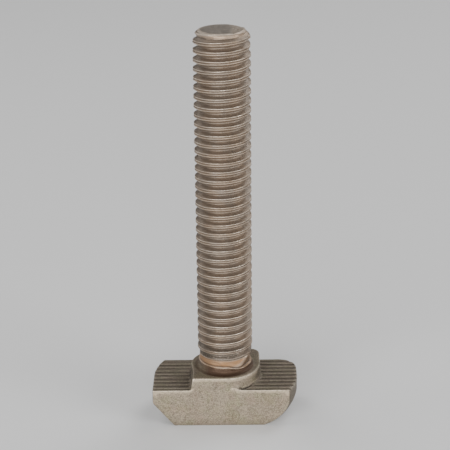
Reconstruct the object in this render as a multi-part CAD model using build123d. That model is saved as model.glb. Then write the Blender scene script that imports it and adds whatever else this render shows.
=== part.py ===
"""T slot bolt, M8 x 50, with a twist-in head for a 10 mm profile slot.

One forged piece: a chamfered T head whose two leading corners are swung on the bolt's axis,
serrated wings that bear on the slot's lips, a neck that stops the head after a quarter turn,
a coved shank root with a plain band, and a shank at the thread's crest size with a chamfered tip.

Frame, in millimetres: the origin is the middle of the head's flat bottom, +Z runs up the shank,
X is along the head and Y is across it.
"""

import os
from math import floor

from build123d import *

# ---- Head ----
head_length = 20.4  # end to end, and the circle that the leading corners sweep
head_width = 9.8  # and the neck's, just under the 10 mm slot
wing_height = 5.6  # bottom to the bearing faces
chamfer_run = 2.9  # bottom chamfers, along the head
chamfer_rise = 3.5  # bottom chamfers, up the ends
front_corner_radius = 0.4  # stop corner, front left
back_corner_radius = 1.5  # stop corner, back right
head_edge_radius = 0.3  # forged outer edges

# ---- Serrations, grooves that run along both wings ----
serration_pitch = 1.1
serration_depth = 0.28
serration_width = 0.55  # mouth of each groove
serration_margin = 0.3  # front face to the middle of the first groove
serration_last_land = 0.4  # least between the last groove and the back face

# ---- Neck, square ----
neck_height = 1.7  # above the bearing faces
neck_front_corner_radius = 0.25  # stop corner, front left
neck_back_corner_radius = 1.0  # stop corner, back right
neck_edge_radius = 0.2  # forged edge of its top

# ---- Shank ----
shank_length = 50.0  # bearing faces to tip
root_cove_radius = 0.85  # from the neck's top up into the collar
collar_diameter = 7.5  # lip that the cove ends on
collar_height = 0.2
band_diameter = 7.2  # plain band between the collar and the thread
band_length = 1.15
thread_diameter = 7.76  # crests of the M8 coarse thread
thread_start_length = 0.5  # over which the crests rise from the plain band
tip_diameter = 5.9  # flat end
tip_chamfer_length = 0.45

# ---- Worked out from these ----
half_length = head_length / 2
half_width = head_width / 2
neck_width = head_width  # flush with the head's front and back
half_neck = neck_width / 2  # and the circle that its leading corners turn on
collar_radius = collar_diameter / 2
band_radius = band_diameter / 2
crest_radius = thread_diameter / 2
cove_radius = min(root_cove_radius, half_neck - neck_edge_radius - collar_radius)
neck_top = wing_height + neck_height
neck_foot = wing_height - 2 * serration_depth  # inside the head, below the grooves
collar_base = neck_top + cove_radius
band_base = collar_base + collar_height
band_top = band_base + band_length
thread_base = band_top + thread_start_length
tip_height = wing_height + shank_length


def upright(*lines):
    """Flat face in the XZ plane, from closed lines drawn in (x, z)."""
    return Plane.XZ * make_face(lines)


def round_stops(outline, front_radius, back_radius):
    """Round a plan outline's two stop corners: front left, then back right."""
    front = outline.vertices().sort_by(lambda corner: corner.X + corner.Y)[0]
    outline = fillet(front, front_radius)
    back = outline.vertices().sort_by(lambda corner: corner.X + corner.Y)[-1]
    return fillet(back, back_radius)


def quarters(body, leading):
    """The body's leading quarters, front right and back left, or else its stop quarters."""
    reach = max(head_length, head_width)
    block = Box(reach, reach, reach, align=(Align.MIN, Align.MIN, Align.CENTER))
    first_turn = -90 if leading else 0
    return [body & Rot(0, 0, first_turn + turn) * block for turn in (0, 180)]


def head():
    """T head: square stop corners, swung leading corners and a chamfer under each end."""
    flank = [
        (half_length - chamfer_run, 0),
        (half_length, chamfer_rise),
        (half_length, wing_height),
    ]
    other_flank = [(-x, z) for x, z in reversed(flank)]
    whole = Polyline(*flank, *other_flank, close=True)
    prism = extrude(upright(whole), amount=half_width, both=True)
    outline = round_stops(Rectangle(head_length, head_width), front_corner_radius, back_corner_radius)
    square = prism & extrude(outline, amount=wing_height)

    half = Polyline((0, 0), *flank, (0, wing_height), close=True)
    swung = revolve(upright(half), Axis.Z)
    swung &= Box(head_length, head_width, 2 * wing_height)

    body = Part() + quarters(square, leading=False) + quarters(swung, leading=True)
    # a leading corner runs smoothly into its end across the XZ plane, so that seam stays sharp
    edges = [edge for edge in body.edges() if max(abs((edge @ 0).Y), abs((edge @ 1).Y)) > 1e-6]
    return fillet(edges, head_edge_radius)


def serration_cutters():
    """V grooves from front to back, each the whole length of the head."""
    groove = make_face(
        Polyline(
            (0, -serration_width / 2, wing_height),
            (0, 0, wing_height - serration_depth),
            (0, serration_width / 2, wing_height),
            close=True,
        )
    )
    cutter = extrude(groove, amount=head_length, dir=(1, 0, 0), both=True)
    first = serration_margin - half_width
    last = half_width - serration_last_land - serration_width / 2
    count = floor((last - first) / serration_pitch) + 1
    return [Pos(0, first + i * serration_pitch, 0) * cutter for i in range(count)]


def neck():
    """Neck: two stop corners, and two leading corners turned to its own width."""
    front_right = RadiusArc((0, -half_neck), (half_neck, 0), -half_neck)
    back_left = RadiusArc((0, half_neck), (-half_neck, 0), -half_neck)
    outline = make_face(
        [
            Polyline((-half_neck, 0), (-half_neck, -half_neck), (0, -half_neck)),
            front_right,
            Polyline((half_neck, 0), (half_neck, half_neck), (0, half_neck)),
            back_left,
        ]
    )
    outline = round_stops(outline, neck_front_corner_radius, neck_back_corner_radius)
    body = Pos(0, 0, neck_foot) * extrude(outline, amount=neck_top - neck_foot)
    return fillet(body.faces().sort_by(Axis.Z)[-1].edges(), neck_edge_radius)


def shank():
    """Turned shank: cove, collar lip, plain band, thread crests and chamfered tip."""
    cove_foot = (collar_radius + cove_radius, neck_top)
    cove_top = (collar_radius, collar_base)
    below = Polyline((0, neck_foot), (collar_radius, neck_foot), cove_foot)
    cove = RadiusArc(cove_foot, cove_top, cove_radius)
    above = Polyline(
        cove_top,
        (collar_radius, band_base),
        (band_radius, band_base),
        (band_radius, band_top),
        (crest_radius, thread_base),
        (crest_radius, tip_height - tip_chamfer_length),
        (tip_diameter / 2, tip_height),
        (0, tip_height),
        (0, neck_foot),
    )
    return revolve(upright(below, cove, above), Axis.Z)


def t_slot_bolt():
    """The whole bolt, one solid."""
    return head() - serration_cutters() + neck() + shank()


os.makedirs("parts", exist_ok=True)
export_step(t_slot_bolt(), "parts/t_slot_bolt.step")
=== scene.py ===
"""Forged T slot bolt with a rolled thread: the visual model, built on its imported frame.

The head and neck are closed blocks that are remeshed evenly as one, so that their edges can be worn
and the wings serrated. The shank is one column of the thread's profile, swept round the axis with a
rise of one pitch. Both are joined in the cove under the collar, as one closed mesh.

Shapes are modelled in millimetres and brought to metres at the end.
"""

import random
from math import atan2, cos, exp, floor, hypot, pi, radians, sin, sqrt, tan
from types import SimpleNamespace

import bmesh
import bpy
from bpy.props import FloatProperty, FloatVectorProperty, IntProperty, PointerProperty
from mathutils import Matrix, Vector, noise


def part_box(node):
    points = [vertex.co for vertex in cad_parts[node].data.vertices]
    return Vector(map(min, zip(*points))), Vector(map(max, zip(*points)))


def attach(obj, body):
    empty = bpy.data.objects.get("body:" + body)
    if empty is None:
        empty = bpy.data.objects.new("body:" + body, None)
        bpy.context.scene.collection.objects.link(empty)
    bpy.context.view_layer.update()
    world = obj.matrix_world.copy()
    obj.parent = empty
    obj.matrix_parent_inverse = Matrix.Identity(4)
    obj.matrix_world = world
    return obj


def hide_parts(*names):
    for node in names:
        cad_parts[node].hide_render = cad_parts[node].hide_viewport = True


bl_info = {
    "name": "T Slot Bolt",
    "version": (1, 0, 0),
    "blender": (4, 5, 0),
    "location": "View3D > Sidebar > Bolt",
    "description": "Forged T slot bolt with a rolled thread, its finishes and a plain studio",
    "category": "Add Mesh",
}

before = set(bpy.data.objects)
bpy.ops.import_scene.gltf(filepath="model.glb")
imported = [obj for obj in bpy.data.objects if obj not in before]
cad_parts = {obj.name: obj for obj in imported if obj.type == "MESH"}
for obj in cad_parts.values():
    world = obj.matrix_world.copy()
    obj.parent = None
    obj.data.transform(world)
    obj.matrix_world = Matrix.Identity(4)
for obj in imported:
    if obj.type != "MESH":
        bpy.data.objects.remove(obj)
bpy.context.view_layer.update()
node_low, node_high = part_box("t_slot_bolt")

TO_METRES = 0.001
HEAD_LENGTH = (node_high.x - node_low.x) / TO_METRES
HEAD_WIDTH = (node_high.y - node_low.y) / TO_METRES
TIP_HEIGHT = node_high.z / TO_METRES


# ---- Sizes and colours ----


def size(name, millimetres, description):
    """A length that a user can change, given here in millimetres."""
    metres = millimetres * TO_METRES
    return FloatProperty(
        name=name, description=description, default=metres, min=0, precision=6, unit="LENGTH"
    )


def colour(name, default, description):
    """A colour that a user can change."""
    return FloatVectorProperty(
        name=name, description=description, default=default, size=3, min=0, max=1, subtype="COLOR"
    )


def share_of(name, default, description):
    """A share from 0 to 1 that a user can change."""
    return FloatProperty(
        name=name, description=description, default=default, min=0, max=1, subtype="FACTOR"
    )


def angle_of(name, degrees, description):
    """An angle that a user can change, given here in degrees."""
    return FloatProperty(
        name=name, description=description, default=radians(degrees), subtype="ANGLE"
    )


def own_keys(group):
    """Names of the values that a property group holds."""
    return [key for key in group.bl_rna.properties.keys() if key not in ("rna_type", "name")]


def in_millimetres(group):
    """The values of a property group, with its lengths in millimetres."""
    values = SimpleNamespace()
    for key in own_keys(group):
        value = getattr(group, key)
        if group.bl_rna.properties[key].unit == "LENGTH":
            value = round(value / TO_METRES, 4)
        setattr(values, key, value)
    return values


class HeadSizes(bpy.types.PropertyGroup):
    """Sizes of the T head and its serrations."""

    length: size("Length", HEAD_LENGTH, "End to end, and the circle that the leading corners sweep")
    width: size("Width", HEAD_WIDTH, "Front to back, just under the slot")
    wing_height: size("Wing height", 5.6, "Bottom to the bearing faces")
    chamfer_run: size("Chamfer run", 2.9, "Bottom chamfers, along the head")
    chamfer_rise: size("Chamfer rise", 3.5, "Bottom chamfers, up the ends")
    back_corner_radius: size("Back corner radius", 2.5, "Stop corner at the back right")
    edge_radius: size("Edge radius", 0.25, "Forged outer edges")
    corner_bulge: size("Corner bulge", 0.5, "How far the swung corners stand out past a plain cone")
    serration_pitch: size("Serration pitch", 1.1, "Groove to groove, front to back")
    serration_depth: size("Serration depth", 0.28, "Depth of the grooves")
    serration_width: size("Serration width", 0.55, "Mouth of each groove")
    serration_margin: size("Serration margin", 0.3, "Front face to the middle of the first groove")
    surface_step: size("Surface step", 0.128, "Spacing of the mesh on the forged faces")


class NeckSizes(bpy.types.PropertyGroup):
    """Sizes of the square neck."""

    height: size("Height", 1.76, "Above the bearing faces")
    back_corner_radius: size("Back corner radius", 1.4, "Stop corner at the back right")
    edge_radius: size("Edge radius", 0.16, "Forged edge of its top")
    foot_radius: size("Foot radius", 0.2, "Hollow where the neck rises from the wings")
    inset: size("Inset", 0.15, "How far its left stop face lies inside its width")
    draft: size("Draft", 0.22, "How far that face leans in at the top")


class ShankSizes(bpy.types.PropertyGroup):
    """Sizes of the shank's root and tip."""

    cove_radius: size("Cove radius", 0.5, "From the neck's top up into the collar's stem")
    stem_height: size("Stem height", 0.85, "Neck's top to the collar's underside")
    collar_radius: size("Collar radius", 3.62, "Stem under the collar's lip")
    collar_height: size("Collar height", 0.2, "Height of the lip")
    band_radius: size("Band radius", 3.6, "Plain band between the collar and the thread")
    band_length: size("Band length", 0.95, "Collar to the first trace of thread")
    lap_height: size("Lap height", 0.16, "Fold of metal from the last crest to the lip, at the right")
    fold_depth: size("Fold depth", 0.14, "Hollow under that fold")
    droop: size("Droop", 0.38, "How far the lip hangs down at the right")
    tip_radius: size("Tip radius", 2.85, "Flat of the end face")
    tip_round: size("Tip round", 0.9, "Length over which the end rolls over to its face")


class ThreadSizes(bpy.types.PropertyGroup):
    """Sizes of the rolled thread."""

    pitch: size("Pitch", 1.25, "Rise in one turn")
    crest_radius: size("Crest radius", 3.85, "Axis to crest")
    root_radius: size("Root radius", 3.235, "Axis to root")
    crest_width: size("Crest width", 0.36, "Flat of the crest")
    crest_round: size("Crest round", 0.04, "Rounding from the crest to the flanks")
    root_round: size("Root round", 0.08, "Rounding from the flanks to the root")
    seam_depth: size("Seam depth", 0.13, "Seam that rolling leaves along the crest")
    seam_width: size("Seam width", 0.26, "Mouth of the seam")
    lead: size("Lead", 0.86, "End face down to the crest on the +X side")
    rise_length: size("Rise length", 0.9, "Over which crests rise from the plain band")
    runout_length: size("Run-out length", 0.7, "Over which grooves run out to the plain band")
    segments: IntProperty(name="Segments", description="Steps in one turn", default=80, min=24)


class Finish(bpy.types.PropertyGroup):
    """Colours of the steel."""

    forged: colour("Forged steel", (0.298, 0.246, 0.180), "Blasted faces of the head")
    # Worn edges, and a painted highlight along the head's edges.
    edge: colour("Worn edge", (0.78, 0.70, 0.56), "Edges where the scale is rubbed off")
    # Grime, and the painted shade on upturned faces, the head's ends, the grooves, along the neck's
    # foot, on the thread's upper flanks and seam, and in the creases by the collar.
    dirt_and_shade: colour("Grime", (0.078, 0.066, 0.054), "What lies in grooves and corners")
    # Brown oxide, and the painted shade in the cove and the painted shadow under the collar's lip.
    oxide_and_shade: colour("Brown oxide", (0.072, 0.042, 0.026), "Hollow under the collar")
    rolled: colour("Rolled steel", (0.385, 0.285, 0.205), "Thread flanks and roots")
    # Burnished crests, and the painted highlights on the crest lips, the collar's lip and the tip's
    # rim, and painted glints on the last turns.
    crest: colour("Rolled crest", (0.7, 0.61, 0.5), "Burnished crests")
    sheared: colour("Sheared end", (0.27, 0.24, 0.21), "End face of the shank")
    copper: colour("Copper tint", (0.40, 0.215, 0.095), "Plain band under the thread")
    forged_metallic: share_of("Forged metallic", 0.65, "How metallic the head and neck are")
    rolled_metallic: share_of("Rolled metallic", 0.7, "How metallic the shank is")


class StageSettings(bpy.types.PropertyGroup):
    """Camera and floor."""

    distance: size("Distance", 198.7, "Camera to the point that it looks at")
    look_height: size("Look height", 28.29, "Height of the point that it looks at")
    look_side: size("Look side", 0.18, "Side step of that point along X")
    azimuth: angle_of("Azimuth", 0.44, "Camera's turn round the bolt")
    elevation: angle_of("Elevation", 20.59, "Camera's height angle")
    roll: angle_of("Roll", -0.64, "Camera's tilt to its side")
    lens: FloatProperty(
        name="Lens", description="Focal length on a 36 mm sensor", default=116.0, unit="CAMERA"
    )
    floor: colour("Floor", (0.72, 0.72, 0.72), "Floor and backdrop")


# ---- Small tools for meshes ----

ON_PLANE = 1e-5  # distance within which a point counts as on a plane
WELD = 1e-4  # within which points are merged
CUT_SLACK = 1e-6  # and within which they count as on a cut


def smooth_step(low, high, value):
    """0 below low, 1 above high, and a smooth rise between."""
    t = min(max((value - low) / (high - low), 0.0), 1.0)
    return t * t * (3 - 2 * t)


def window(value, start, full, ease, end):
    """0 up to start, 1 from full to ease, and 0 again from end, with smooth slopes between."""
    return smooth_step(start, full, value) * smooth_step(end, ease, value)


def bell(value, middle, width):
    """1 at the middle, and about a third at width from it."""
    return exp(-(((value - middle) / width) ** 2))


def soft_min(a, b, width):
    """The lower of a and b, rounded where they are within width of each other."""
    h = min(max(0.5 + 0.5 * (b - a) / width, 0.0), 1.0)
    return b + (a - b) * h - width * h * (1 - h)


def everything(bm):
    """All the elements of a bmesh, as its operators want them."""
    return bm.verts[:] + bm.edges[:] + bm.faces[:]


def only_verts(geom):
    """The vertices among some elements."""
    return [item for item in geom if isinstance(item, bmesh.types.BMVert)]


def placed(name, data):
    """New object in the scene."""
    made = bpy.data.objects.new(name, data)
    bpy.context.scene.collection.objects.link(made)
    return made


def open_edges(bm):
    """Edges with a face on one side only."""
    return [edge for edge in bm.edges if edge.is_boundary]


def faces_in_plane(bm, *axes):
    """Faces in a plane through the bolt's axis where X (0) or Y (1) is nought."""
    return [
        face
        for face in bm.faces
        if any(all(abs(v.co[axis]) < ON_PLANE for v in face.verts) for axis in axes)
    ]


def upright_face(bm, outline):
    """Face in the XZ plane from points (x, z)."""
    return bm.faces.new([bm.verts.new((x, 0, z)) for x, z in outline])


def swing(bm, geom, angle, steps, rise=0.0, merge=False):
    """Spin some elements on the bolt's axis, with a rise at each step."""
    bmesh.ops.spin(
        bm, geom=geom, cent=(0, 0, 0), axis=(0, 0, 1), dvec=(0, 0, rise), angle=angle, space=Matrix(),
        steps=steps, use_merge=merge, use_normal_flip=False, use_duplicate=False,
    )


def cut_off(bm, point, outward):
    """Cut away what lies past a plane."""
    bmesh.ops.bisect_plane(
        bm, geom=everything(bm), dist=CUT_SLACK, plane_co=point, plane_no=outward, clear_outer=True
    )


def close_up(bm, inner):
    """Take out the inner faces, and merge the rest into one closed shell that faces outwards."""
    bmesh.ops.delete(bm, geom=inner, context="FACES")
    bmesh.ops.remove_doubles(bm, verts=bm.verts, dist=WELD)
    bmesh.ops.recalc_face_normals(bm, faces=bm.faces)
    if open_edges(bm):
        raise RuntimeError("a block of the head isn't closed")


def round_edges(bm, edges, radius, segments):
    """Round some edges."""
    bmesh.ops.bevel(
        bm, geom=edges, offset=radius, offset_type="OFFSET", segments=segments, profile=0.5,
        affect="EDGES", clamp_overlap=True, material=-1,
    )


def relax(bm, verts, times, factor=0.5):
    """Smooth some vertices."""
    for _ in range(times):
        bmesh.ops.smooth_vert(
            bm, verts=verts, factor=factor, use_axis_x=True, use_axis_y=True, use_axis_z=True
        )


def root_levels(head, neck, shank):
    """Heights up the root of the shank, from the neck's top to the thread."""
    neck_top = head.wing_height + neck.height
    collar = neck_top + shank.stem_height
    band_base = collar + shank.collar_height
    joint = neck_top + shank.cove_radius / 2
    band_top = band_base + shank.band_length
    return SimpleNamespace(
        neck_top=neck_top, joint=joint, collar=collar, band_base=band_base, band_top=band_top
    )


# ---- Head and neck ----

QUARTER_STEPS = 48
CORNER_STEPS = 8
EDGE_STEPS = 3
SHARP = radians(22)
NECK_SINK = 1.5  # how far the neck's block reaches down into the head's

COVE_STEPS = 8
COVE_TURN_STEPS = 96
COVE_SINK = 1.0  # how far the cove's block reaches down into the neck's
COVE_STUB = 0.5  # and up past the cove


def twist_block(outline, half_width):
    """Closed block with its front right and back left quarters swung on the axis, so that it can
    turn in a slot, and the other two square, so that it stops there. The outline is half of its
    front view, from the axis round to the axis."""
    bm = bmesh.new()
    upright_face(bm, outline)
    swing(bm, everything(bm), -pi / 2, QUARTER_STEPS)
    if max(x for x, _ in outline) > half_width:
        cut_off(bm, (0, -half_width, 0), (0, -1, 0))
        bmesh.ops.holes_fill(bm, edges=open_edges(bm), sides=0)

    square = upright_face(bm, outline)
    side = bmesh.ops.extrude_face_region(bm, geom=[square])["geom"]
    bmesh.ops.translate(bm, vec=(0, half_width, 0), verts=only_verts(side))

    copy = bmesh.ops.duplicate(bm, geom=everything(bm))["geom"]
    half_turn = Matrix.Rotation(pi, 3, "Z")
    bmesh.ops.rotate(bm, cent=(0, 0, 0), matrix=half_turn, verts=only_verts(copy))
    close_up(bm, faces_in_plane(bm, 0, 1))
    return bm


def corner_edges(bm, x, y):
    """Upright edges at a plan position."""
    return [
        edge
        for edge in bm.edges
        if all(abs(v.co.x - x) < WELD and abs(v.co.y - y) < WELD for v in edge.verts)
    ]


def sharp_edges(bm, lowest):
    """Edges above a height where the surface turns by more than a little."""
    sharp = [edge for edge in bm.edges if edge.is_manifold and edge.calc_face_angle() > SHARP]
    return [edge for edge in sharp if min(v.co.z for v in edge.verts) >= lowest]


def head_block(head):
    """T head before its serrations."""
    half, top = head.length / 2, head.wing_height
    outline = [(0, 0), (half - head.chamfer_run, 0), (half, head.chamfer_rise), (half, top), (0, top)]
    bm = twist_block(outline, head.width / 2)
    back = corner_edges(bm, half, head.width / 2)
    round_edges(bm, back, head.back_corner_radius, CORNER_STEPS)
    round_edges(bm, sharp_edges(bm, 0), head.edge_radius, EDGE_STEPS)
    return bm


def neck_block(head, neck, levels):
    """Square neck, from inside the head up to its rounded top."""
    half = head.width / 2
    foot = head.wing_height - NECK_SINK
    outline = [(0, foot), (half, foot), (half, levels.neck_top), (0, levels.neck_top)]
    bm = twist_block(outline, half)
    round_edges(bm, corner_edges(bm, half, half), neck.back_corner_radius, CORNER_STEPS)
    above_foot = foot + NECK_SINK / 2
    round_edges(bm, sharp_edges(bm, above_foot), neck.edge_radius, EDGE_STEPS)
    return bm


def cove_radius_at(z, shank, levels):
    """Radius of the cove's hollow quarter circle at a height."""
    above = max(levels.neck_top + shank.cove_radius - z, 0.0)
    reach = sqrt(max(shank.cove_radius**2 - above**2, 0))
    return shank.collar_radius + shank.cove_radius - reach


def cove_block(shank, levels):
    """Foot of the shank: the cove and a stub above it."""
    low = levels.neck_top - COVE_SINK
    high = levels.neck_top + shank.cove_radius + COVE_STUB
    outline = [(0, low), (shank.collar_radius + shank.cove_radius, low)]
    for step in range(COVE_STEPS + 1):
        z = levels.neck_top + shank.cove_radius * step / COVE_STEPS
        outline.append((cove_radius_at(z, shank, levels), z))
    outline += [(shank.collar_radius, high), (0, high)]
    bm = bmesh.new()
    upright_face(bm, outline)
    swing(bm, everything(bm), 2 * pi, COVE_TURN_STEPS, merge=True)
    close_up(bm, faces_in_plane(bm, 1))
    return bm


def remeshed(blocks, step):
    """One even mesh round several closed blocks."""
    mesh = bpy.data.meshes.new("blank")
    whole = bmesh.new()
    for block in blocks:
        block.to_mesh(mesh)
        block.free()
        whole.from_mesh(mesh)
    whole.to_mesh(mesh)
    whole.free()
    blank = placed("blank", mesh)
    remesh = blank.modifiers.new("Even", "REMESH")
    remesh.mode = "VOXEL"
    remesh.voxel_size = step
    bpy.context.view_layer.update()
    seen = blank.evaluated_get(bpy.context.evaluated_depsgraph_get())
    even = bpy.data.meshes.new_from_object(seen)
    bpy.data.objects.remove(blank)
    bpy.data.meshes.remove(mesh)
    bm = bmesh.new()
    bm.from_mesh(even)
    bpy.data.meshes.remove(even)
    return bm


def neck_distance(x, y, half):
    """How far a plan position lies outside the neck."""
    if x * y <= 0:
        return hypot(x, y) - half
    return max(abs(x), abs(y)) - half


STEP_SOFTENING = 0.8  # takes the steps of the remesh off the slanted faces
FOOT_ROUNDS = 3


def soften_foot(bm, head, neck):
    """Hollow where the neck rises from the wings."""
    foot = []
    for vert in bm.verts:
        apart = neck_distance(vert.co.x, vert.co.y, head.width / 2)
        if max(abs(apart), abs(vert.co.z - head.wing_height)) < neck.foot_radius:
            foot.append(vert)
    relax(bm, foot, FOOT_ROUNDS)


SWELL_SKIN = 0.35  # how deep under the cones the metal swells with them
SWELL_SOLID = 0.05  # and down to where it swells in full
SWELL_FADE = radians(14)  # from the end of a swung corner


def fill_corners(bm, head):
    """Swell the cones under the swung corners."""
    low_radius = head.length / 2 - head.chamfer_run
    slope = atan2(head.chamfer_run, head.chamfer_rise)
    for vert in bm.verts:
        x, y, z = vert.co
        if x * y >= 0 or not 0 < z < head.chamfer_rise:
            continue
        radius = hypot(x, y)
        share = z / head.chamfer_rise
        plain = low_radius + head.chamfer_run * share
        if radius < plain - SWELL_SKIN:
            continue
        swell = head.corner_bulge * 4 * share * (1 - share)
        swell *= smooth_step(0, SWELL_FADE, abs(atan2(y, x) if x > 0 else atan2(-y, -x)))
        swell *= smooth_step(plain - SWELL_SKIN, plain - SWELL_SOLID, radius)
        outward = Vector((x / radius, y / radius, 0)) * cos(slope) - Vector((0, 0, sin(slope)))
        vert.co += outward * swell
        vert.co.z = max(vert.co.z, 0.0)


LEAN_REACH = 1.2  # how far in from the left stop face the metal moves with it
LEAN_SOLID = 0.2  # and how far it moves in full
LEAN_FADE = (1.0, -2.5)  # places along Y where the lean starts, and where it is full
FACE_SLACK = 0.1  # how far out of the face its points may lie
BEARING_SLACK = 0.15  # and how far under the bearing faces


def lean_neck(bm, head, neck, levels):
    """Lean the neck's left stop face in towards its top."""
    half = head.width / 2
    for vert in bm.verts:
        x, y, z = vert.co
        if z > head.wing_height - BEARING_SLACK and x > -half - FACE_SLACK:
            near = smooth_step(half - LEAN_REACH, half - LEAN_SOLID, -x)
            near *= smooth_step(*LEAN_FADE, y)
            up = smooth_step(head.wing_height, levels.neck_top, z)
            vert.co.x += (neck.inset + neck.draft * up) * near


LAST_GROOVE = 8
GROOVE_WAVER = 0.3  # share by which the grooves' depth varies
GROOVE_ROUND = 0.03  # rounding of their rims
SMEAR_SHARE = 0.75  # depth that the battered middle of the left wing has lost
SMEAR_X = (-6.2, 1.3)  # its middle, and how far it reaches
SMEAR_Y = (-0.6, 2.6)
LAST_SHARE = 0.15  # depth of the left wing's last groove, which was barely struck


def groove_depth(x, y, head):
    """Depth of the serrations at a plan position on a wing."""
    first = head.serration_margin - head.width / 2
    turns = (y - first) / head.serration_pitch
    number = round(turns)
    if not 0 <= number <= LAST_GROOVE:
        return 0.0
    off = abs(turns - number) * head.serration_pitch
    waver = 1 + GROOVE_WAVER * noise.noise(Vector((x * 0.5, y * 2.0, 3.0)))
    depth = head.serration_depth * waver * max(0.0, 1 - off / (head.serration_width / 2))
    if x < 0:
        depth *= 1 - SMEAR_SHARE * bell(x, *SMEAR_X) * bell(y, *SMEAR_Y)
        if number == LAST_GROOVE:
            depth *= LAST_SHARE
    return depth


CUT_DEPTH = 0.35
CUT_PLACE = (0.2, 0.13)  # distance from the neck, and width
FILL_HEIGHT = 0.25


def wedge_depth(x, apart):
    """Depth of the sharp cut under the neck, where its swung corner leaves the front face."""
    return CUT_DEPTH * window(abs(x), 2.0, 2.4, 3.0, 4.0) * bell(apart, *CUT_PLACE)


def wedge_fill(x, z, apart, wing):
    """Rise of the metal before that cut, where head and neck are still one face."""
    near = window(apart, -0.5, 0.0, 0.0, 0.4) * window(abs(x), 0.3, 1.3, 1.9, 2.4)
    return FILL_HEIGHT * near * window(z, wing - 0.3, wing - 0.02, wing, wing + 0.9)


GROOVE_REACH = 0.6  # how far under the bearing faces the grooves are pressed
NECK_REACH = 0.5  # how far into the neck
CLEAR_SWUNG = (0.15, 0.6)  # distances from a swung corner at which grooves start and are full
CLEAR_SQUARE = (0.0, 0.2)  # and from a square one


def serrate(bm, head):
    """Press the grooves into both wings."""
    wing = head.wing_height
    for vert in bm.verts:
        x, y, z = vert.co
        apart = neck_distance(x, y, head.width / 2)
        swung = x * y < 0
        if z < wing - GROOVE_REACH or apart < -NECK_REACH:
            continue
        if apart >= 0:
            clear = CLEAR_SWUNG if swung else CLEAR_SQUARE
            depth = groove_depth(x, y, head) * smooth_step(*clear, apart)
            if swung:
                depth = max(depth, wedge_depth(x, apart))
            if depth > 0:
                vert.co.z = soft_min(z, wing - depth, GROOVE_ROUND)
        if swung:
            vert.co.z += wedge_fill(x, vert.co.z, apart, wing)


WEAR_SINK = -0.02
WEAR = (  # waves to a millimetre, where they are taken from, and depth
    (0.33, (0, 0, 0), 0.03),
    (1.4, (7, 3, 5), 0.014),
    (4.5, (0, 0, 0), 0.006),
)
FLAT_REACH = 0.06  # height over the bottom up to which the surface is pressed flat
FACING_DOWN = -0.8


def forge_surface(bm, head):
    """Wear of the forged faces: shallow hollows, and waver along the edges."""
    bm.normal_update()
    reach = (head.length / 2, head.width / 2)
    for vert in bm.verts:
        sink = WEAR_SINK
        for waves, start, depth in WEAR:
            sink += depth * noise.noise(vert.co * waves + Vector(start))
        vert.co += vert.normal * sink
        for axis, most in enumerate(reach):
            vert.co[axis] = min(max(vert.co[axis], -most), most)
        vert.co.z = max(vert.co.z, 0.0)
        if vert.co.z < FLAT_REACH and vert.normal.z < FACING_DOWN:
            vert.co.z = 0.0


PROUD_ROUNDS = 7  # rounds of smoothing that leave the narrow edges proud
CROWN_ROUNDS = 54  # and those that leave the broad ones proud as well


def mark_proud(bm, name, times):
    """Store how far each vertex stands proud of the smoothed surface, in millimetres."""
    layer = bm.verts.layers.float.new(name)
    soft = bm.copy()
    relax(soft, soft.verts, times)
    bm.normal_update()
    for vert, level in zip(bm.verts, soft.verts):
        vert[layer] = (vert.co - level.co).dot(vert.normal)
    soft.free()


def forged_head(head, neck, shank, levels):
    """Head, neck and the lower half of the cove, open where the shank joins on."""
    blocks = [head_block(head), neck_block(head, neck, levels), cove_block(shank, levels)]
    bm = remeshed(blocks, head.surface_step)
    relax(bm, bm.verts, 1, STEP_SOFTENING)
    soften_foot(bm, head, neck)
    fill_corners(bm, head)
    lean_neck(bm, head, neck, levels)
    serrate(bm, head)
    forge_surface(bm, head)
    mark_proud(bm, "proud", PROUD_ROUNDS)
    mark_proud(bm, "crown", CROWN_ROUNDS)
    cut_off(bm, (0, 0, levels.joint), (0, 0, 1))
    return bm


# ---- Shank ----

FLANK = radians(30)
PROFILE = (0.0, 0.045, 0.085, 0.12, 0.15, 0.185, 0.24, 0.49)  # points beside a crest's middle


def thread_radius(off, thread):
    """Radius of the thread's profile at a distance from the crest's middle, along the axis."""
    flank = thread.crest_radius - (abs(off) - thread.crest_width / 2) / tan(FLANK)
    radius = soft_min(thread.crest_radius, flank, thread.crest_round)
    radius = -soft_min(-thread.root_radius, -radius, thread.root_round)
    return radius - thread.seam_depth * (1 - smooth_step(0, thread.seam_width / 2, abs(off)))


def thread_column(thread, low, high):
    """Points (radius, z) up one side of the thread, from low to high, with crests at the lead."""
    offs = [-off for off in reversed(PROFILE[1:])] + [*PROFILE, thread.pitch / 2]
    crest = TIP_HEIGHT - thread.lead
    first = floor((low - crest) / thread.pitch)
    last = floor((high - crest) / thread.pitch) + 1
    return [
        (thread_radius(off, thread), crest + turns * thread.pitch + off)
        for turns in range(first, last + 1)
        for off in offs
    ]


TIP_CURVE = 0.55  # 1 is a straight cone down to the end face, and less is rounder
TIP_BEND = 0.16  # how far the end is bent in and out
BEND_SIDE = 0.1  # angle where it is bent most
BEND_REACH = (1.3, 0.6)  # angles from there where the bend starts, and where it is full
BEND_WAVES = 1.9  # to a millimetre
WORN = 0.012  # wear of the whole thread
TIP_WORN = 0.08  # and what its first turns add
TIP_WORN_REACH = (4, 1.5)  # distances from the end face where that starts, and where it is full
WORN_STRETCH = 2.5  # how much shorter its waves are along the bolt than round it
WORN_WAVES = ((1.1, 1.0), (2.4, 0.6))  # waves to a millimetre, and share
WORN_SINK = -0.4


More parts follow.
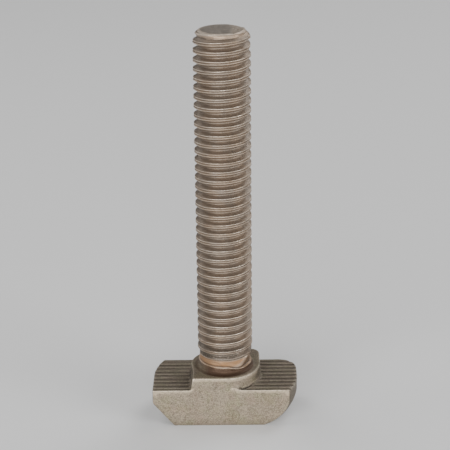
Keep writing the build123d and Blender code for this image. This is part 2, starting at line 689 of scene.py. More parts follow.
def fade_thread(bm, shank, thread, levels):
    """Run the thread out on the plain band, roll its end over to the tip's face, and wear it."""
    band, low = shank.band_radius, levels.band_top
    worn_from, worn_to = (TIP_HEIGHT - reach for reach in TIP_WORN_REACH)
    for vert in bm.verts:
        x, y, z = vert.co
        radius = hypot(x, y)
        proud = max(radius - band, 0) * smooth_step(low, low + thread.rise_length, z)
        sunk = min(radius - band, 0) * smooth_step(low, low + thread.runout_length, z)
        changed = band + proud + sunk
        left = max(TIP_HEIGHT - z, 0) / shank.tip_round
        if left < 1:
            reach = shank.tip_radius + (thread.crest_radius - shank.tip_radius) * left**TIP_CURVE
            bent = smooth_step(*BEND_REACH, abs(atan2(y, x) - BEND_SIDE))
            changed = soft_min(changed, reach, thread.crest_round)
            changed += TIP_BEND * bent * noise.noise(vert.co * BEND_WAVES) * (1 - left)
        place = Vector((x, y, WORN_STRETCH * z))
        worn = WORN + TIP_WORN * smooth_step(worn_from, worn_to, z)
        rough = WORN_SINK + sum(share * noise.noise(place * waves) for waves, share in WORN_WAVES)
        changed += worn * rough * smooth_step(low, low + 1, z)
        vert.co.x = x * changed / radius
        vert.co.y = y * changed / radius


DENTS = (  # how many, and between which angles, distances from the end face, widths and depths
    (90, (0, 360), (TIP_HEIGHT - 10.5, 1), (0.1, 0.28), (0.02, 0.07)),
    (16, (-75, 20), (3.2, 0), (0.15, 0.4), (0.05, 0.14)),
)


def nick(bm, thread):
    """Small dents along the crests, and a few larger ones on the first turns."""
    draw = random.Random(8)
    dents = []
    for count, angles, drops, widths, depths in DENTS:
        for _ in range(count):
            angle = radians(draw.uniform(*angles))
            z = draw.uniform(*(TIP_HEIGHT - drop for drop in drops))
            width, depth = draw.uniform(*widths), draw.uniform(*depths)
            spot = Vector((thread.crest_radius * cos(angle), thread.crest_radius * sin(angle), z))
            dents.append((spot, width, depth))
    dents.sort(key=lambda dent: dent[0].z)
    for vert in bm.verts:
        for spot, width, depth in dents:
            if spot.z > vert.co.z + 1:
                break
            gap = (vert.co - spot).length
            if gap < 2 * width:
                radius = hypot(vert.co.x, vert.co.y)
                sink = depth * bell(gap, 0, width) / radius
                vert.co.x -= vert.co.x * sink
                vert.co.y -= vert.co.y * sink


def ring_on(bm, edges, radius, z, waver):
    """Extrude an open ring of edges to a new radius and height, and give the new ring's edges."""
    made = bmesh.ops.extrude_edge_only(bm, edges=edges)["geom"]
    for vert in only_verts(made):
        angle = atan2(vert.co.y, vert.co.x)
        reach = radius + waver * noise.noise(Vector((3 * cos(angle), 3 * sin(angle), z * 4)))
        vert.co = Vector((reach * cos(angle), reach * sin(angle), z))
    return [item for item in made if isinstance(item, bmesh.types.BMEdge)]


# Rings down the plain band and over the lip: how far each is outside the band's radius or the
# collar's, and above the foot of the band.
BAND_RINGS = (
    (0, 0.73), (0, 0.6), (0, 0.48), (0, 0.36), (0, 0.26),
    (-0.03, 0.18), (-0.1, 0.09), (-0.09, 0.03), (0.04, -0.01),
)
LIP_RINGS = ((0.03, -0.03), (0.09, -0.07), (0.08, -0.12), (-0.04, -0.17))
STEM_INSET = 0.07  # how far the stem goes in under the lip
COVE_RINGS = (0.1, 0.2, 0.3)  # rings down the cove, below the collar's underside
JOINT_GAP = 0.05
ROOT_WAVER = 0.045

# Rings from the rim of the end face to its middle: radius, and distance below the tip.
FACE_RINGS = (
    (2.75, 0.005), (2.6, 0.02), (2.35, 0.03), (2.1, 0.04), (1.9, 0.045),
    (1.65, 0.05), (1.4, 0.05), (1.1, 0.05), (0.6, 0.055),
)
FACE_WAVER = 0.01


def add_root(bm, edges, shank, levels):
    """Plain band, collar and the upper half of the cove, down from the foot of the thread."""
    rings = [(shank.band_radius + out, levels.band_base + up) for out, up in BAND_RINGS]
    rings += [(shank.collar_radius + out, levels.band_base + up) for out, up in LIP_RINGS]
    rings += [(shank.collar_radius - STEM_INSET, levels.collar)]
    heights = [levels.collar - down for down in COVE_RINGS] + [levels.joint + JOINT_GAP]
    rings += [(cove_radius_at(z, shank, levels), z) for z in heights]
    for radius, z in rings:
        edges = ring_on(bm, edges, radius, z, ROOT_WAVER)


def add_end_face(bm, edges):
    """End face of the shank."""
    for radius, down in FACE_RINGS:
        edges = ring_on(bm, edges, radius, TIP_HEIGHT - down, FACE_WAVER)
    bmesh.ops.holes_fill(bm, edges=edges, sides=0)


CRUMPLE_DEPTH = 0.22
CRUMPLE_REACH = (0.9, 1.6)  # places along X where the folds start, and where they are full
CRUMPLE_DOWN = 0.2  # distance from the end face that they reach down to
CRUMPLES = ((2.6, 1.6, 4, 1.0), (5.5, 3.5, 9, 0.5))  # waves along X and Y, level and share


def crumple_tip(bm):
    """Press the right side of the end face into small folds."""
    for vert in bm.verts:
        x, y, z = vert.co
        if z > TIP_HEIGHT - CRUMPLE_DOWN:
            fold = 0.0
            for across, back, level, share in CRUMPLES:
                fold += share * abs(noise.noise(Vector((x * across, y * back, level))))
            vert.co.z -= CRUMPLE_DEPTH * fold * smooth_step(*CRUMPLE_REACH, x)


FOLD_ANGLE = -1.32  # angle round the bolt where the fold is lowest
FOLD_RISE = 1.7  # how fast it climbs from there to the last crest
FOLD_WIDTH = 0.24


def fold_shape(angle, z, base):
    """How far the fold under the thread stands out at a place on the root, and the hollow
    below it, each from 0 to 1."""
    off = z - base - FOLD_RISE * (angle - FOLD_ANGLE) ** 2
    lap = bell(off, 0, FOLD_WIDTH) * window(angle, -1.45, -1.15, -0.35, -0.1)
    hollow = smooth_step(-0.1, -0.35, off) * window(angle, -1.2, -1.0, 0.2, 0.6)
    return lap, hollow * window(z, base, base + 0.12, base + 0.6, base + 1.0)


def droop_shape(angle, z, base):
    """How far the collar's lip hangs down at a place on the root, from 0 to 1."""
    low = window(z, base - 0.75, base - 0.1, base, base + 0.9)
    return low * window(angle, -1.5, -0.9, 0.1, 0.7)


def fold_collar(bm, shank, base):
    """Lap the last crest down to the collar's lip at the right, and let the lip hang there. The
    fold and the heights before it are stored for the finish."""
    lap_layer = bm.verts.layers.float.new("lap")
    level_layer = bm.verts.layers.float.new("level")
    for vert in bm.verts:
        x, y, z = vert.co
        vert[level_layer] = z
        if z > base + 2:
            continue
        angle = atan2(y, x)
        lap, hollow = fold_shape(angle, z, base)
        grow = 1 + (shank.lap_height * lap - shank.fold_depth * hollow) / hypot(x, y)
        vert[lap_layer] = lap - hollow
        drop = shank.droop * droop_shape(angle, z, base)
        vert.co = Vector((x * grow, y * grow, z - drop))


CUT_UNDER = 0.1  # how far the column is cut off below the first trace of thread
CUT_OVER = 0.006  # and below the tip


def rolled_shank(shank, thread, levels):
    """Collar, plain band, thread and tip, open where it joins the cove."""
    low, high = levels.band_top - CUT_UNDER, TIP_HEIGHT - CUT_OVER
    bm = bmesh.new()
    column = thread_column(thread, low - thread.pitch, TIP_HEIGHT)
    verts = [bm.verts.new((radius, 0, z)) for radius, z in column]
    for below, above in zip(verts, verts[1:]):
        bm.edges.new((below, above))
    rise = thread.pitch / thread.segments
    swing(bm, everything(bm), 2 * pi, thread.segments, rise)
    bmesh.ops.remove_doubles(bm, verts=bm.verts, dist=WELD)
    cut_off(bm, (0, 0, low), (0, 0, -1))
    cut_off(bm, (0, 0, high), (0, 0, 1))
    fade_thread(bm, shank, thread, levels)
    nick(bm, thread)
    middle = (low + high) / 2
    bottom = [edge for edge in open_edges(bm) if edge.verts[0].co.z < middle]
    top = [edge for edge in open_edges(bm) if edge.verts[0].co.z > middle]
    add_root(bm, bottom, shank, levels)
    add_end_face(bm, top)
    crumple_tip(bm)
    fold_collar(bm, shank, levels.band_base)
    return bm


def joined(head_bm, shank_bm):
    """Head and shank as one closed mesh, in metres."""
    mesh = bpy.data.meshes.new("bolt")
    for name in ("lap", "level"):
        head_bm.verts.layers.float.new(name)
    shank_bm.to_mesh(mesh)
    shank_bm.free()
    head_bm.from_mesh(mesh)
    bmesh.ops.bridge_loops(head_bm, edges=open_edges(head_bm))
    bmesh.ops.triangulate(head_bm, faces=[face for face in head_bm.faces if len(face.verts) > 4])
    bmesh.ops.recalc_face_normals(head_bm, faces=head_bm.faces)
    if open_edges(head_bm):
        raise RuntimeError("the bolt's mesh isn't closed")
    bmesh.ops.scale(head_bm, vec=(TO_METRES,) * 3, verts=head_bm.verts)
    head_bm.to_mesh(mesh)
    head_bm.free()
    return mesh


# ---- Shader nodes ----

SMOOTH = {"interpolation_type": "SMOOTHSTEP"}
MIX_INPUTS, MIX_RESULT = (0, 6, 7), 2  # sockets of a Mix node for its share and two colours


class Nodes:
    """A shader tree, and short ways to add to it. A value is a number or a node's output."""

    def __init__(self, tree):
        self.tree = tree

    def link(self, value, socket):
        """Give a value or a colour to an input."""
        if isinstance(value, bpy.types.NodeSocket):
            self.tree.links.new(value, socket)
        else:
            socket.default_value = (*value, 1) if socket.type == "RGBA" else value

    def add(self, kind, settings=None, **values):
        """A node with its settings and the values of its inputs."""
        made = self.tree.nodes.new(kind)
        for key, value in (settings or {}).items():
            setattr(made, key, value)
        for key, value in values.items():
            self.link(value, made.inputs[key])
        return made

    def effect(self, group, **values):
        """Outputs of a shader group placed here with its own values."""
        return self.add("ShaderNodeGroup", {"node_tree": group}, **values).outputs

    def maths(self, operation, *values):
        """Output of a maths node."""
        made = self.add("ShaderNodeMath", {"operation": operation})
        for value, socket in zip(values, made.inputs):
            self.link(value, socket)
        return made.outputs[0]

    def plus(self, first, second):
        """Sum of two values."""
        return self.maths("ADD", first, second)

    def minus(self, first, second):
        """Difference of two values."""
        return self.maths("SUBTRACT", first, second)

    def times(self, first, *others):
        """Product of several values."""
        for other in others:
            first = self.maths("MULTIPLY", first, other)
        return first

    def ramp(self, value, low, high, start=0.0, end=1.0):
        """Goes smoothly from start, where the value is low, to end, where it is high."""
        values = {"Value": value, "From Min": low, "From Max": high, "To Min": start, "To Max": end}
        return self.add("ShaderNodeMapRange", SMOOTH, **values).outputs["Result"]

    def line(self, value, middle, half_width):
        """Mask of a soft line where a value is near its middle."""
        apart = self.maths("ABSOLUTE", self.minus(value, middle))
        return self.ramp(apart, 0.0, half_width, 1.0, 0.0)

    def place(self):
        """Place on the bolt."""
        return self.add("ShaderNodeTexCoord").outputs["Object"]

    def split(self, vector):
        """X, Y and Z of a vector."""
        return self.add("ShaderNodeSeparateXYZ", Vector=vector).outputs

    def cloud(self, place, scale, detail, roughness=0.5):
        """Soft noise."""
        values = {"Vector": place, "Scale": scale, "Detail": detail, "Roughness": roughness}
        return self.add("ShaderNodeTexNoise", **values).outputs["Fac"]

    def kept(self, name):
        """A value that the mesh keeps for its vertices."""
        return self.add("ShaderNodeAttribute", {"attribute_name": name}).outputs["Fac"]

    def mix(self, share, first, second, blend="MIX"):
        """Output of a colour mix."""
        made = self.add("ShaderNodeMix", {"data_type": "RGBA", "blend_type": blend})
        for value, index in zip((share, first, second), MIX_INPUTS):
            self.link(value, made.inputs[index])
        return made.outputs[MIX_RESULT]


def new_group(name, inputs, outputs):
    """Empty shader group of floats: its nodes, the values given to it and what it puts out."""
    tree = bpy.data.node_groups.new(name, "ShaderNodeTree")
    for label, default in inputs.items():
        socket = tree.interface.new_socket(label, in_out="INPUT", socket_type="NodeSocketFloat")
        socket.default_value = default
    for label in outputs:
        tree.interface.new_socket(label, in_out="OUTPUT", socket_type="NodeSocketFloat")
    given = tree.nodes.new("NodeGroupInput").outputs
    return Nodes(tree), given, tree.nodes.new("NodeGroupOutput").inputs


def grain_group():
    """Fine blasted grain: a value for colour and a height for bump."""
    inputs = {"Size": 0.0002, "Stretch": 1.0}
    nodes, given, out = new_group("blasted grain", inputs, ("Value", "Height"))
    scale = nodes.maths("DIVIDE", 1.0, given["Size"])
    axes = nodes.split(nodes.place())
    upright = nodes.times(axes["Z"], given["Stretch"])
    place = nodes.add("ShaderNodeCombineXYZ", X=axes["X"], Y=axes["Y"], Z=upright).outputs[0]
    coarse = nodes.cloud(place, scale, detail=3.0, roughness=0.65)
    spacing = nodes.times(scale, 0.7)
    pits = nodes.add("ShaderNodeTexVoronoi", {"feature": "F1"}, Vector=place, Scale=spacing)
    nodes.link(nodes.ramp(coarse, 0.3, 0.7), out["Value"])
    nodes.link(nodes.plus(coarse, nodes.times(pits.outputs["Distance"], 0.6)), out["Height"])
    return nodes.tree


def patches_group():
    """Mask of broad uneven patches, with a scale in waves to a metre."""
    inputs = {"Scale": 500.0, "Low": 0.4, "High": 0.6}
    nodes, given, out = new_group("patches", inputs, ("Mask",))
    cloud = nodes.cloud(nodes.place(), given["Scale"], detail=4.0, roughness=0.6)
    nodes.link(nodes.ramp(cloud, given["Low"], given["High"]), out["Mask"])
    return nodes.tree


def zone_group():
    """Mask that is 1 between two heights, and fades to 0 past them."""
    inputs = {"Low": 0.0, "High": 0.01, "Fade": 0.001}
    nodes, given, out = new_group("height zone", inputs, ("Mask",))
    height = nodes.split(nodes.place())["Z"]
    rise = nodes.ramp(height, nodes.minus(given["Low"], given["Fade"]), given["Low"])
    over = nodes.plus(given["High"], given["Fade"])
    fall = nodes.ramp(height, given["High"], over, 1.0, 0.0)
    nodes.link(nodes.times(rise, fall), out["Mask"])
    return nodes.tree


def radius_group():
    """Mask that rises with the distance from the bolt's axis, or from a line beside it."""
    inputs = {"Inner": 0.003, "Outer": 0.004, "Right": 0.0, "Back": 0.0}
    nodes, given, out = new_group("radius", inputs, ("Mask",))
    axes = nodes.split(nodes.place())
    right = nodes.minus(axes["X"], given["Right"])
    back = nodes.minus(axes["Y"], given["Back"])
    flat = nodes.add("ShaderNodeCombineXYZ", X=right, Y=back).outputs[0]
    away = nodes.add("ShaderNodeVectorMath", {"operation": "LENGTH"}, Vector=flat).outputs["Value"]
    nodes.link(nodes.ramp(away, given["Inner"], given["Outer"]), out["Mask"])
    return nodes.tree


def new_material(name):
    """Empty material, and the inputs of its shader."""
    material = bpy.data.materials.new(name)
    material.use_nodes = True
    return material, material.node_tree.nodes["Principled BSDF"].inputs


def shade(tint, factor):
    """A colour made darker or lighter."""
    return tuple(min(factor * channel, 1.0) for channel in tint)


# ---- Finishes ----

FAR = 1000.0  # past either end of the bolt, in millimetres
RUBBED_SHINE = 0.12  # how much less rough a rubbed place is
OXIDE_SHADE_SIDE = (-3.8, -2.0, 0.45, 1.0)  # the brown oxide and its painted shade are lighter at the left, where more light falls
TURNS_WAVES, TURNS_WAVER = 900.0, 0.03  # waver of the thread's lines: waves to a metre, and turns


class Steel(Nodes):
    """A steel material that is built up in layers of colour, with its places in millimetres."""

    def __init__(self, name, groups, metallic):
        self.material, self.shader = new_material(name)
        super().__init__(self.material.node_tree)
        self.groups = groups
        self.shader["Metallic"].default_value = metallic
        self.side = self.split(self.place())["X"]
        self.colour = None

    def shared(self, name, **lengths):
        """Outputs of a shared effect that is given lengths."""
        metres = {key: length * TO_METRES for key, length in lengths.items()}
        return self.effect(self.groups[name], **metres)

    def grain(self, grain_size, stretch=1.0):
        """Outputs of the blasted grain."""
        return self.effect(self.groups["grain"], Size=grain_size * TO_METRES, Stretch=stretch)

    def patches(self, scale, low, high):
        """Mask of broad uneven patches."""
        return self.effect(self.groups["patches"], Scale=scale, Low=low, High=high)["Mask"]

    def zone(self, low, high, fade):
        """Mask between two heights."""
        return self.shared("zone", Low=low, High=high, Fade=fade)["Mask"]

    def inside(self, inner, outer, right=0.0, back=0.0):
        """Mask that falls with the distance from the bolt's axis, or from a line beside it."""
        reach = self.shared("radius", Inner=inner, Outer=outer, Right=right, Back=back)["Mask"]
        return self.minus(1.0, reach)

    def by_side(self, left, right, start, end):
        """Goes from start to end between two places along X."""
        return self.ramp(self.side, left * TO_METRES, right * TO_METRES, start, end)

    def turns(self, pitch, start):
        """Place within a turn of a thread: 0 on the crest's middle, then up to half a pitch."""
        place = self.place()
        axes = self.split(place)
        angle = self.maths("DIVIDE", self.maths("ARCTAN2", axes["Y"], axes["X"]), 2 * pi)
        rise = self.maths("DIVIDE", self.minus(axes["Z"], start * TO_METRES), pitch * TO_METRES)
        cloud = self.cloud(place, TURNS_WAVES, detail=3.0)
        waver = self.times(self.minus(cloud, 0.5), TURNS_WAVER)
        turns = self.plus(self.minus(rise, angle), waver)
        return self.minus(self.maths("FRACT", self.plus(turns, 0.5)), 0.5)

    def cover(self, mask, tint, most=1.0, blend="MIX"):
        """Lay a colour over the others, with its greatest share."""
        share = mask if most == 1.0 else self.times(mask, most)
        self.colour = self.mix(share, self.colour, tint, blend)

    def complete(self, grain, rough, relief, strength):
        """Give the shader its colour, roughness and fine relief."""
        values = {"Height": grain["Height"], "Distance": relief * TO_METRES, "Strength": strength}
        normal = self.add("ShaderNodeBump", **values).outputs["Normal"]
        results = {"Base Color": self.colour, "Roughness": rough, "Normal": normal}
        for name, value in results.items():
            self.link(value, self.shader[name])
        return self.material


def blast(steel, finish, fine, speck):
    """Blasted colour of the head and neck: grain, pits, stains, faint tints, and a painted shade
    towards the bottom.
    """
    forged = finish.forged
    steel.colour = steel.mix(fine["Value"], shade(forged, 0.5), shade(forged, 1.38))
    steel.cover(steel.ramp(speck, 0.3, 0.05), shade(forged, 0.35), most=0.6)
    steel.cover(steel.patches(300.0, 0.45, 0.75), shade(forged, 0.72), most=0.22)
    steel.cover(steel.patches(1300.0, 0.45, 0.7), shade(forged, 1.35), most=0.3)
    for scale, tint in ((520.0, (0.94, 1.0, 0.90)), (610.0, (1.0, 0.95, 0.96))):
        steel.cover(steel.patches(scale, 0.45, 0.65), tint, blend="MULTIPLY")
    # Painted shade towards the bottom of the head.
    steel.cover(steel.zone(-FAR, 0.0, 1.6), shade(forged, 0.45), most=0.4)


def edge_highlight_and_burrs(steel, finish, speck, facing, wing, top):
    """Lighter band along the wings' and the neck's upper edges on the upright faces: a painted
    highlight, with some burred metal.
    """
    crown = steel.ramp(steel.kept("crown"), 0.008, 0.06)
    shoulder = steel.zone(wing - 0.9, wing + 0.1, 0.2)
    brow = steel.zone(top - 0.4, FAR, 0.3)
    uneven = steel.ramp(speck, 0.0, 0.6, 0.35, 0.75)
    upright = steel.ramp(facing, 0.2, 0.5, 1.0, 0.0)
    # Painted highlight below the upper edges, with burred metal there.
    highlight_and_burr = steel.times(crown, steel.plus(shoulder, brow), uneven, upright)
    steel.cover(highlight_and_burr, shade(finish.forged, 1.75))


def head_shade_and_grime(steel, finish, upward, across, wing, top):
    """Painted shade, partly soiling, on the faces that look up; painted shade on the ends and in the
    grooves; and a painted shadow along the neck's foot.
    """
    # Painted shade on the faces that look up, partly soiling, a little less on the neck's top.
    cap = steel.zone(top - 0.4, FAR, 0.2)
    steel.cover(steel.times(upward, steel.ramp(cap, 0.0, 1.0, 0.58, 0.42)), finish.dirt_and_shade)
    # Painted shade on the faces that turn towards the ends.
    stop = steel.zone(wing, FAR, 0.1)
    start = steel.ramp(stop, 0.0, 1.0, 0.35, 0.8)
    full = steel.ramp(stop, 0.0, 1.0, 0.85, 0.98)
    steel.cover(steel.ramp(across, start, full), finish.dirt_and_shade, most=0.7)
    # Painted shade in the wings' grooves.
    groove = steel.zone(wing - 0.6, wing - 0.12, 0.08)
    steel.cover(steel.times(groove, upward), shade(finish.dirt_and_shade, 0.6), most=0.6)
    # Painted shadow on the wings along the neck's foot.
    heel_shadow = steel.zone(wing - 0.6, wing + 0.05, 0.08)
    by_neck = steel.inside(4.95, 5.3)
    heel_shadow = steel.times(heel_shadow, by_neck, steel.by_side(2.8, 3.6, 0.9, 0.25), upward)
    steel.cover(heel_shadow, shade(finish.dirt_and_shade, 0.45))


def cove_oxide_and_shade(steel, finish, top):
    """Brown oxide in the cove and on the neck's top round it, with a painted shade there that is
    lighter at the left.
    """
    # Brown oxide and painted shade, round a middle set a little to the front and left.
    near = steel.inside(4.0, 4.3, right=-0.15, back=-0.3)
    oxide_and_shade = steel.minus(steel.plus(steel.zone(top - 0.05, FAR, 0.1), near), 1.0)
    oxide_and_shade = steel.times(steel.maths("MAXIMUM", oxide_and_shade, 0.0), steel.by_side(*OXIDE_SHADE_SIDE))
    steel.cover(oxide_and_shade, finish.oxide_and_shade)


def forged_steel(finish, groups, head, levels):
    """Blasted head and neck, with worn edges and a painted highlight along them, painted shade on the
    wings, partly soiling, and brown oxide with painted shade in the cove.
    """
    steel = Steel("forged_steel", groups, finish.forged_metallic)
    fine = steel.grain(0.12)
    speck = steel.grain(0.28)["Value"]
    wing, top = head.wing_height, levels.neck_top
    normal = steel.split(steel.add("ShaderNodeNewGeometry").outputs["Normal"])
    facing, across = normal["Z"], steel.maths("ABSOLUTE", normal["X"])
    upward = steel.times(steel.zone(wing - 0.6, FAR, 0.1), steel.ramp(facing, 0.2, 0.7))

    blast(steel, finish, fine, speck)
    edge_highlight_and_burrs(steel, finish, speck, facing, wing, top)
    head_shade_and_grime(steel, finish, upward, across, wing, top)
    cove_oxide_and_shade(steel, finish, top)

    # Worn edges and a painted highlight along them, weaker on faces that look up or down.
    edge_wear_and_highlight = steel.ramp(steel.kept("proud"), 0.012, 0.05)
    uneven = steel.ramp(speck, 0.0, 0.5, 0.5, 0.95)
    away_from_tops = steel.minus(1.0, steel.times(upward, 0.85))
    rubbed = steel.times(edge_wear_and_highlight, uneven, away_from_tops, steel.ramp(facing, 0.0, 0.3, 0.15, 1.0))
    steel.cover(rubbed, finish.edge)
    rough = steel.ramp(fine["Value"], 0.0, 1.0, 0.66, 0.5)
    rough = steel.minus(rough, steel.times(rubbed, RUBBED_SHINE))
    return steel.complete(fine, rough, relief=0.05, strength=0.8)


def thread_painted_shade(steel, finish, share, lip, on_thread, last):
    """Painted shade on the upper flanks, lighter at the right and stronger on the last turns, and
    painted shade in the seam along the crests. The share is the place within a turn, and the lip is
    that of the crest's edge."""
    # Painted shade on the upper flanks, lighter at the right.
    below = steel.maths("FRACT", steel.times(share, -1.0))
    flank = steel.times(steel.ramp(below, 0.22, 0.5), on_thread)
    flank = steel.times(flank, steel.ramp(below, 1.0 - lip, 0.97 - lip))
    flank = steel.times(flank, steel.zone(0.0, TIP_HEIGHT - 0.7, 0.2))
    flank = steel.times(flank, steel.by_side(1.2, 2.6, 1.0, 0.65))
    flank_shade = steel.plus(0.7, steel.times(last, 0.25))
    steel.cover(steel.times(flank, flank_shade), finish.dirt_and_shade)
    # Painted shade in the seam along the crests.
    steel.cover(steel.times(steel.line(share, 0.0, 0.09), on_thread), finish.dirt_and_shade, most=0.8)


def crest_lips(steel, finish, share, lip, on_thread):
    """Painted highlights, with some burnish, on the lips on both sides of the crests, and their mask.
    """
    # Painted highlight, with some burnish, on both lips of each crest.
    upper = steel.times(steel.line(share, lip - 0.01, 0.035), steel.patches(420.0, 0.3, 0.6))
    lower = steel.times(steel.line(share, -lip + 0.005, 0.04), 0.85)
    lips = steel.times(steel.maths("MAXIMUM", upper, lower), on_thread)
    steel.cover(lips, finish.crest)
    return lips


def copper_band(steel, finish, low, high):
    """Copper tint on the plain band, with painted shade in the fold's hollow and in the crease above
    the collar, a painted highlight on the collar's lip and a painted shadow under it.
    """
    level, lap = steel.kept("level"), steel.kept("lap")
    rise = steel.ramp(level, low - 0.2, low + 0.1)
    fall = steel.ramp(level, high - 0.2, high + 0.1, 1.0, 0.0)
    thin = steel.ramp(lap, 0.15, 0.6, 0.88, 0.25)
    uneven = steel.ramp(steel.patches(500.0, 0.3, 0.7), 0.0, 1.0, 0.75, 1.0)
    steel.cover(steel.times(rise, fall, thin, uneven), finish.copper)
    # Painted shade in the hollow under the fold.
    steel.cover(steel.ramp(lap, -0.2, -0.8, 0.0, 0.6), finish.dirt_and_shade)
    # Painted shade in the crease above the collar's lip.
    steel.cover(steel.line(level, low + 0.07, 0.12), finish.dirt_and_shade, most=0.95)
    # Painted highlight on the collar's lip.
    bright = steel.times(steel.line(level, low - 0.08, 0.1), steel.patches(500.0, 0.4, 0.62))
    steel.cover(bright, finish.crest, most=0.55)
    # Painted shadow under the collar's lip, lighter at the left.
    under = steel.ramp(level, low - 0.22, low - 0.17, 1.0, 0.0)
    steel.cover(steel.times(under, steel.by_side(*OXIDE_SHADE_SIDE)), finish.oxide_and_shade)


def sheared_end(steel, finish):
    """Painted highlight on the rolled rim of the shank's end, and its dull sheared face."""
    # Painted highlight on the rim of the end face.
    steel.cover(steel.zone(TIP_HEIGHT - 0.1, FAR, 0.1), finish.crest, most=0.5)
    face = steel.times(steel.zone(TIP_HEIGHT - 0.25, FAR, 0.03), steel.inside(2.75, 2.85))
    steel.cover(steel.times(face, steel.by_side(0.9, 1.7, 0.95, 0.35)), finish.sheared)


def rolled_steel(finish, groups, thread, levels):
    """Rolled thread: painted highlights on the crest lips, painted shade on the upper flanks and a
    copper tint on the plain band.
    """
    steel = Steel("rolled_steel", groups, finish.rolled_metallic)
    streaks = steel.grain(0.5, stretch=8.0)
    dark = shade(finish.rolled, 0.72)
    steel.colour = steel.mix(streaks["Value"], dark, finish.rolled)
    steel.cover(steel.patches(380.0, 0.42, 0.62), finish.sheared, most=0.45)

    share = steel.turns(thread.pitch, TIP_HEIGHT - thread.lead)
    lip = thread.crest_width / 2 / thread.pitch
    on_thread = steel.zone(levels.band_top, FAR, 0.4)
    last = steel.zone(levels.band_top, levels.band_top + 1.2, 1.2)
    thread_painted_shade(steel, finish, share, lip, on_thread, last)
    lips = crest_lips(steel, finish, share, lip, on_thread)
    steel.cover(last, finish.dirt_and_shade, most=0.2)
    # Painted glints on the last turns.
    glints = steel.ramp(steel.grain(0.22, stretch=1.6)["Value"], 0.75, 1.0, 0.0, 0.3)
    steel.cover(steel.times(glints, last), finish.crest)

    copper_band(steel, finish, levels.band_base, levels.band_top)
    sheared_end(steel, finish)
    steel.cover(steel.ramp(steel.grain(0.18)["Value"], 0.2, 0.9), dark, most=0.2)
    rough = steel.ramp(streaks["Value"], 0.0, 1.0, 0.4, 0.58)
    rough = steel.minus(rough, steel.times(lips, RUBBED_SHINE))
    return steel.complete(streaks, rough, relief=0.03, strength=0.6)


# ---- Stage ----

SENSOR = 36.0  # millimetres
FLOOR_REACH = 3.0
WORLD_COLOUR = (0.9, 0.9, 0.9, 1)
WORLD_STRENGTH = 0.12
LAMP_AIM = Vector((0, 0, 0.02))
LAMPS = (  # name, place, width and depth in metres, and power in watts
    ("front", (-0.19, -0.55, 0.17), 0.66, 0.22, 5.6),
    ("right", (0.43, -0.27, 0.17), 0.30, 0.20, 1.9),
    ("top left", (-0.25, 0.05, 0.55), 0.30, 0.30, 0.8),
    ("top right", (0.22, 0.25, 0.52), 0.25, 0.25, 0.8),
    ("back left", (-0.45, 0.40, 0.36), 0.30, 0.40, 0.8),
    ("back right", (0.40, 0.50, 0.38), 0.30, 0.45, 1.2),
)


def build_camera(scene, stage):
    """Camera that looks down on the bolt from the front."""
    camera = bpy.data.cameras.new("camera")
    camera.lens = stage.lens
    camera.sensor_width = SENSOR
    camera.clip_start = 0.01
    camera.clip_end = 10.0
    holder = placed("camera", camera)
    aim = Matrix.Translation((stage.look_side, 0, stage.look_height))
    turned = (
        Matrix.Rotation(stage.azimuth, 4, "Z")
        @ Matrix.Rotation(pi / 2 - stage.elevation, 4, "X")
        @ Matrix.Rotation(stage.roll, 4, "Z")
    )
    holder.matrix_world = aim @ turned @ Matrix.Translation((0, 0, stage.distance))
    scene.camera = holder


def build_floor(scene, stage):
    """Pale floor, and a pale world round it."""
    bm = bmesh.new()
    bmesh.ops.create_grid(bm, x_segments=1, y_segments=1, size=FLOOR_REACH)
    mesh = bpy.data.meshes.new("floor")
    bm.to_mesh(mesh)
    bm.free()
    floor_piece = placed("floor", mesh)
    material, shader = new_material("floor")
    shader["Base Color"].default_value = (*stage.floor, 1)
    shader["Roughness"].default_value = 0.9
    mesh.materials.append(material)
    world = bpy.data.worlds.new("studio")
    scene.world = world
    world.use_nodes = True
    background = world.node_tree.nodes["Background"]
    background.inputs["Color"].default_value = WORLD_COLOUR
    background.inputs["Strength"].default_value = WORLD_STRENGTH


def build_lamps():
    """Soft lamps: a wide low one in front, one at its right, and weak ones above and behind."""
    for name, place, width, depth, power in LAMPS:
        lamp = bpy.data.lights.new(name, "AREA")
        lamp.shape = "RECTANGLE"
        lamp.size = width
        lamp.size_y = depth
        lamp.energy = power
        holder = placed(name, lamp)
        holder.location = place
        aim = LAMP_AIM - Vector(place)
        holder.rotation_euler = aim.to_track_quat("-Z", "Y").to_euler()


# ---- Operators and panel ----


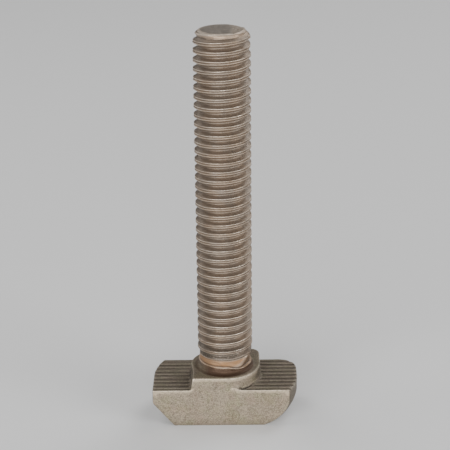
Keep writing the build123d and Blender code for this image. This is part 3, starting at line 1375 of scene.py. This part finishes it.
class MESH_OT_t_slot_bolt(bpy.types.Operator):
    """Add the bolt: forged head and neck, rolled shank and their finishes"""

    bl_idname = "mesh.t_slot_bolt_add"
    bl_label = "T Slot Bolt"

    def execute(self, context):
        scene = context.scene
        head, neck = in_millimetres(scene.bolt_head), in_millimetres(scene.bolt_neck)
        shank, thread = in_millimetres(scene.bolt_shank), in_millimetres(scene.bolt_thread)
        levels = root_levels(head, neck, shank)
        head_bm = forged_head(head, neck, shank, levels)
        mesh = joined(head_bm, rolled_shank(shank, thread, levels))
        groups = {
            "grain": grain_group(),
            "patches": patches_group(),
            "zone": zone_group(),
            "radius": radius_group(),
        }
        finish = scene.bolt_finish
        mesh.materials.append(forged_steel(finish, groups, head, levels))
        mesh.materials.append(rolled_steel(finish, groups, thread, levels))
        cove_top = (levels.neck_top + shank.cove_radius) * TO_METRES
        for face in mesh.polygons:
            face.use_smooth = True
            face.material_index = 1 if face.center.z > cove_top else 0
        bolt = placed("bolt", mesh)
        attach(bolt, "root")
        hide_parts("t_slot_bolt")
        return {"FINISHED"}


class SCENE_OT_bolt_stage(bpy.types.Operator):
    """Add a pale floor, soft lamps and the camera"""

    bl_idname = "scene.t_slot_bolt_stage"
    bl_label = "Bolt Stage"

    def execute(self, context):
        scene = context.scene
        build_camera(scene, scene.bolt_stage)
        build_floor(scene, scene.bolt_stage)
        build_lamps()
        return {"FINISHED"}


class VIEW3D_PT_t_slot_bolt(bpy.types.Panel):
    """Sizes, finishes and stage of the bolt"""

    bl_label = "T Slot Bolt"
    bl_space_type = "VIEW_3D"
    bl_region_type = "UI"
    bl_category = "Bolt"

    def draw(self, context):
        for operator, groups in PANEL_ROWS:
            box = self.layout.box()
            box.operator(operator)
            for name in groups:
                group = getattr(context.scene, name)
                for key in own_keys(group):
                    box.prop(group, key)


GROUPS = {
    "bolt_head": HeadSizes,
    "bolt_neck": NeckSizes,
    "bolt_shank": ShankSizes,
    "bolt_thread": ThreadSizes,
    "bolt_finish": Finish,
    "bolt_stage": StageSettings,
}
PANEL_ROWS = (
    ("mesh.t_slot_bolt_add", ("bolt_head", "bolt_neck", "bolt_shank", "bolt_thread", "bolt_finish")),
    ("scene.t_slot_bolt_stage", ("bolt_stage",)),
)
CLASSES = (*GROUPS.values(), MESH_OT_t_slot_bolt, SCENE_OT_bolt_stage, VIEW3D_PT_t_slot_bolt)


def register():
    for cls in CLASSES:
        bpy.utils.register_class(cls)
    for name, group in GROUPS.items():
        setattr(bpy.types.Scene, name, PointerProperty(type=group))


def unregister():
    for name in GROUPS:
        delattr(bpy.types.Scene, name)
    for cls in reversed(CLASSES):
        bpy.utils.unregister_class(cls)


def main():
    register()
    bpy.ops.mesh.t_slot_bolt_add()
    bpy.ops.scene.t_slot_bolt_stage()


if __name__ == "__main__":
    main()
